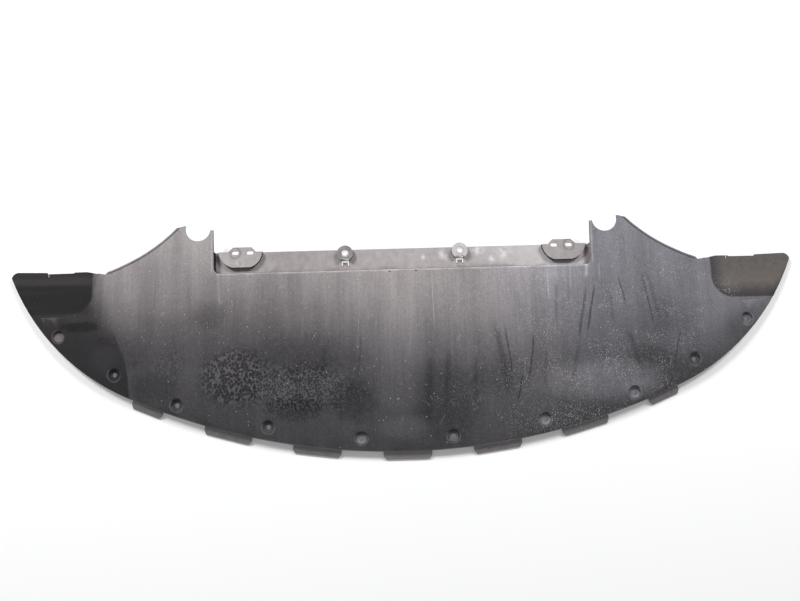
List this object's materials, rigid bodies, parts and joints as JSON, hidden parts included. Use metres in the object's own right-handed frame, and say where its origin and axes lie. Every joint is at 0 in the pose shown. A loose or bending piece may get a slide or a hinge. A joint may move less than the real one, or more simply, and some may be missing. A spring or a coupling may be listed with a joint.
{
  "type": "engine splash shield",
  "caption": "Wide crescent undertray for a car's nose: moulded sheet with a sunken rear fixing flange, front tabs, countersunk screw dishes and steel clip nuts.",
  "frame": {"origin": "on the floor under the middle of the sheet's bounding box, with the sheet lying road side up", "axes": "+X to the right along the car's width, +Y to the rear of the car, +Z out of the road side"},
  "size_m": [1.704, 0.51, 0.0343],
  "materials": {
    "moulded_plastic": "moulded black plastic with road dust",
    "spring_steel": "zinc plated spring steel"
  },
  "bodies": {
    "root": {"shield_panel": "moulded_plastic", "clip_nut_left": "spring_steel", "clip_nut_right": "spring_steel"}
  },
  "joints": []
}
